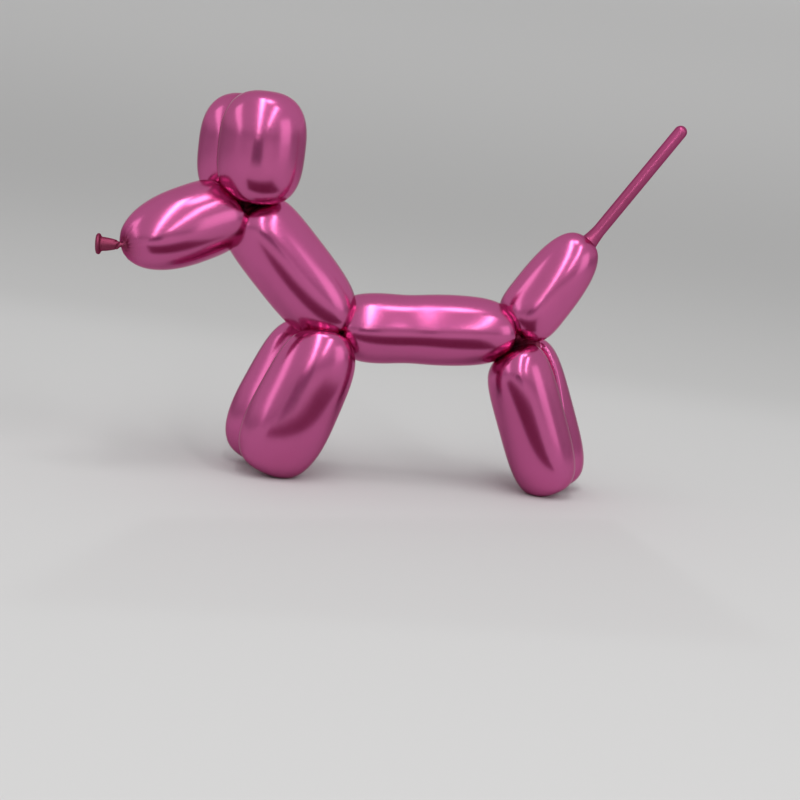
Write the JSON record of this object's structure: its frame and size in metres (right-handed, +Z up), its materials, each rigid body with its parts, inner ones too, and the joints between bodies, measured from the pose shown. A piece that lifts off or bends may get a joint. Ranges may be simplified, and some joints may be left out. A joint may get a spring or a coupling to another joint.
{
  "type": "balloon sculpture",
  "caption": "Dog figure twisted from a long metallic latex modelling balloon, with knotted nozzle, nose, ears, neck, legs, trunk and an upright tail ending in an empty strand.",
  "frame": {"origin": "on the floor under the middle of the figure", "axes": "+X along the trunk towards the tail, +Y across to the far side, +Z up"},
  "size_m": [0.4002, 0.0874, 0.2658],
  "materials": {
    "metallic_latex": "satin metallic pink, darker and duller where the latex is not stretched"
  },
  "bodies": {
    "root": {"balloon_dog": "metallic_latex"}
  },
  "joints": []
}
